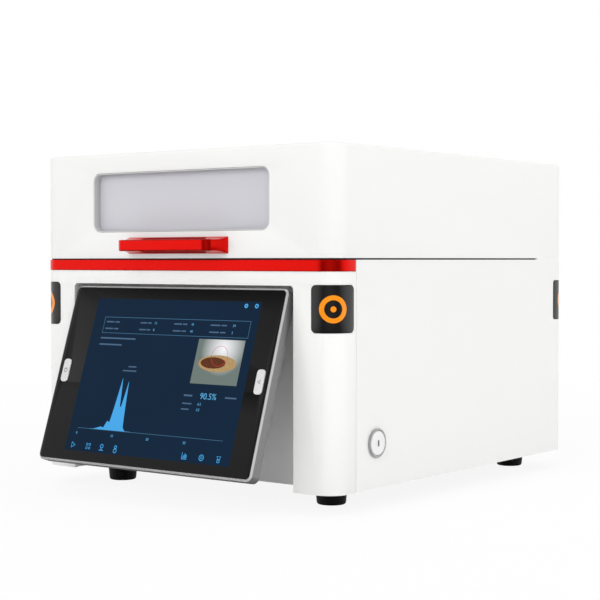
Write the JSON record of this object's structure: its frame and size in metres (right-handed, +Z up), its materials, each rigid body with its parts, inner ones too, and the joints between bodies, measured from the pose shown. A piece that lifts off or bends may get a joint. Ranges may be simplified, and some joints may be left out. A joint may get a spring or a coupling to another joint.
{
  "type": "electronic gold tester",
  "caption": "Bench-top X-ray tester for precious metal: lidded cabinet with a sample chamber, a tilting touch display with keys, a side push button and rubber feet.",
  "frame": {"origin": "on the plane of the feet, below the middle of the whole outline (display tilted out as pictured, hinges at the rear)", "axes": "+Z up, -Y the front with the display and the handle, +X the side with the push button"},
  "size_m": [0.3631, 0.4907, 0.324],
  "materials": {
    "white_enamel": "fine satin powder coat",
    "white_fascia": "satin moulded",
    "grey_tub": "fine texture",
    "red_gloss": "gloss",
    "dark_plate": "gloss",
    "zinc_sheet": "zinc plated",
    "rubber": "matte",
    "steel_screw": "plated",
    "deck_paint": "satin",
    "black_anodised": "black anodised",
    "bare_aluminium": "satin",
    "brass": "turned",
    "chrome_can": "plated",
    "grey_case": "matte",
    "circuit_board": "solder mask",
    "black_plastic": "fine texture",
    "amber_case": "satin",
    "lead_glass": "polished",
    "window_grey": "satin",
    "shield_paint": "satin",
    "display_rim": "bead blasted, polished bevel",
    "black_glass": "polished",
    "lcd_module": "satin",
    "key_plastic": "satin",
    "cap_white": "gloss"
  },
  "bodies": {
    "cabinet": {"base_shell": "white_enamel", "rear_panel": "white_enamel", "panel_screws": "steel_screw", "front_fascia": "white_fascia", "display_recess": "grey_tub", "accent_strip": "red_gloss", "corner_plates": "dark_plate", "bottom_plate": "zinc_sheet", "rubber_feet": "rubber", "foot_screws": "steel_screw", "deck_plate": "deck_paint", "deck_rim": "deck_paint", "stage_plate": "black_anodised", "aperture_ring": "bare_aluminium", "lid_seal": "rubber", "measuring_head": "bare_aluminium", "collimator": "brass", "xray_tube": "chrome_can", "detector": "chrome_can", "sample_camera": "black_plastic", "hv_generator": "grey_case", "power_supply": "zinc_sheet", "control_board": "circuit_board", "board_standoffs": "brass", "interlock_sensor": "amber_case", "fan_frame": "black_plastic", "fan_screws": "steel_screw", "mains_inlet": "black_plastic", "inlet_pins": "brass", "data_ports": "chrome_can", "port_plate": "zinc_sheet", "port_board": "circuit_board", "button_ring": "display_rim", "button_nut": "steel_screw", "hinge_leaves": "bare_aluminium", "hinge_pins": "steel_screw", "hinge_screws": "steel_screw"},
    "lid": {"lid_shell": "white_fascia", "lid_liner": "shield_paint", "window_frame": "window_grey", "viewing_window": "lead_glass", "pull_handle": "red_gloss", "handle_screws": "steel_screw", "interlock_magnet": "amber_case", "lid_hinge_leaves": "bare_aluminium", "lid_hinge_screws": "steel_screw"},
    "display": {"display_frame": "display_rim", "display_glass": "black_glass", "lcd_panel": "lcd_module", "display_board": "circuit_board", "key_boards": "circuit_board", "display_back": "grey_tub", "tilt_pins": "steel_screw"},
    "power_key": {"power_key": "key_plastic"},
    "start_key": {"start_key": "key_plastic"},
    "side_button": {"button_cap": "cap_white"},
    "mains_switch": {"mains_rocker": "black_plastic"},
    "fan": {"fan_rotor": "black_plastic"}
  },
  "joints": [
    {"name": "lid_hinge", "type": "hinge", "parent": "cabinet", "child": "lid", "pos_m": [0, 0.24055, 0.2232], "axis": [-1, 0, 0], "range_deg": [0, 75]},
    {"name": "display_tilt", "type": "hinge", "parent": "cabinet", "child": "display", "pos_m": [0, -0.18335, 0.18865], "axis": [-1, 0, 0], "range_deg": [-18.4, 15]},
    {"name": "power_key_press", "type": "slide", "parent": "display", "child": "power_key", "axis": [0, 0.9489, -0.3156], "range_m": [0, 0.0008], "stiffness_N_per_m": 1200, "springref_m": -0.0006},
    {"name": "start_key_press", "type": "slide", "parent": "display", "child": "start_key", "axis": [0, 0.9489, -0.3156], "range_m": [0, 0.0008], "stiffness_N_per_m": 1200, "springref_m": -0.0006},
    {"name": "side_button_press", "type": "slide", "parent": "cabinet", "child": "side_button", "axis": [-1, 0, 0], "range_m": [0, 0.002], "stiffness_N_per_m": 1000, "springref_m": -0.001},
    {"name": "mains_switch_rock", "type": "hinge", "parent": "cabinet", "child": "mains_switch", "pos_m": [-0.11, 0.23205, 0.063], "axis": [1, 0, 0], "range_deg": [-16, 0]},
    {"name": "fan_spin", "type": "hinge", "parent": "cabinet", "child": "fan", "pos_m": [0.095, 0.21905, 0.12], "axis": [0, 1, 0], "continuous": true}
  ]
}
